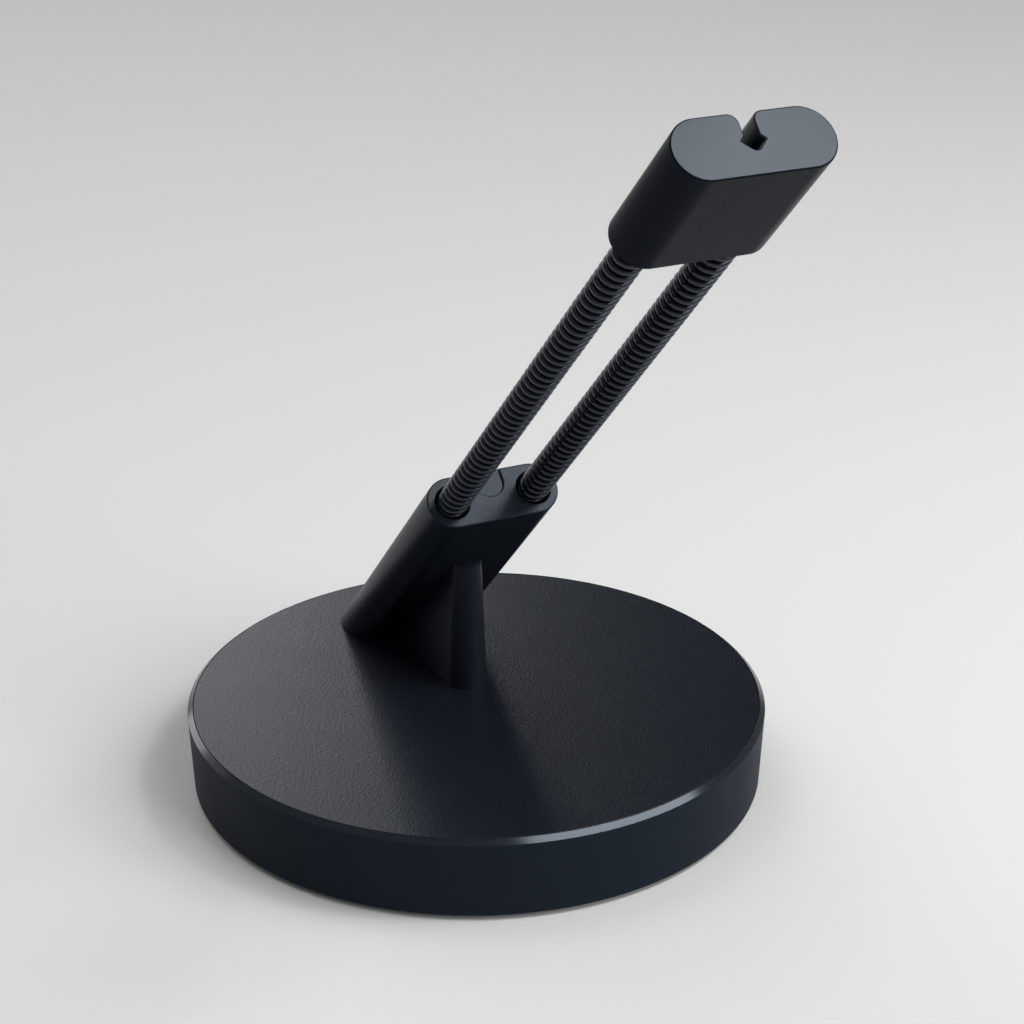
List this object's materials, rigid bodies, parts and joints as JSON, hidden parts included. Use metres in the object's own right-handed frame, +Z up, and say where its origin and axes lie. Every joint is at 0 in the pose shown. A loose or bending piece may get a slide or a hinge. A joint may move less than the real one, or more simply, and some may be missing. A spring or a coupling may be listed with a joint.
{
  "type": "mouse bungee",
  "caption": "Weighted round desk stand with a slanted mount and side-by-side coil springs that carry a slotted head, which holds a mouse cable up off the desk.",
  "frame": {"origin": "on the desk, under the middle of the round base", "axes": "+Z up; the springs stand apart along X; the arm leans towards -Y, the front"},
  "size_m": [0.096, 0.1321, 0.1297],
  "materials": {
    "base_plastic": "satin moulded",
    "plate_plastic": "fine spark grain",
    "cover_plastic": "moulded",
    "mount_plastic": "fine spark grain",
    "head_plastic": "satin moulded",
    "foot_rubber": "matt",
    "weight_steel": "turned",
    "fastener_steel": "plated",
    "spring_wire": "black coated wire"
  },
  "bodies": {
    "stand": {"base_ring": "base_plastic", "top_plate": "plate_plastic", "weight_disc": "weight_steel", "bottom_cover": "cover_plastic", "rubber_foot": "foot_rubber", "cover_screw": "fastener_steel", "mount_screws": "fastener_steel", "arm_mount": "mount_plastic", "left_spring": "spring_wire", "right_spring": "spring_wire", "left_lower_pin": "fastener_steel", "right_lower_pin": "fastener_steel"},
    "head": {"cable_head": "head_plastic", "left_upper_pin": "fastener_steel", "right_upper_pin": "fastener_steel"}
  },
  "joints": [
    {"name": "arm_flex", "type": "hinge", "parent": "stand", "child": "head", "pos_m": [0, -0.03634, 0.08194], "axis": [1, 0, 0], "range_deg": [-30, 30], "stiffness_Nm_per_rad": 0.043, "springref_deg": -2.04, "deforming": ["left_spring", "right_spring"]}
  ]
}
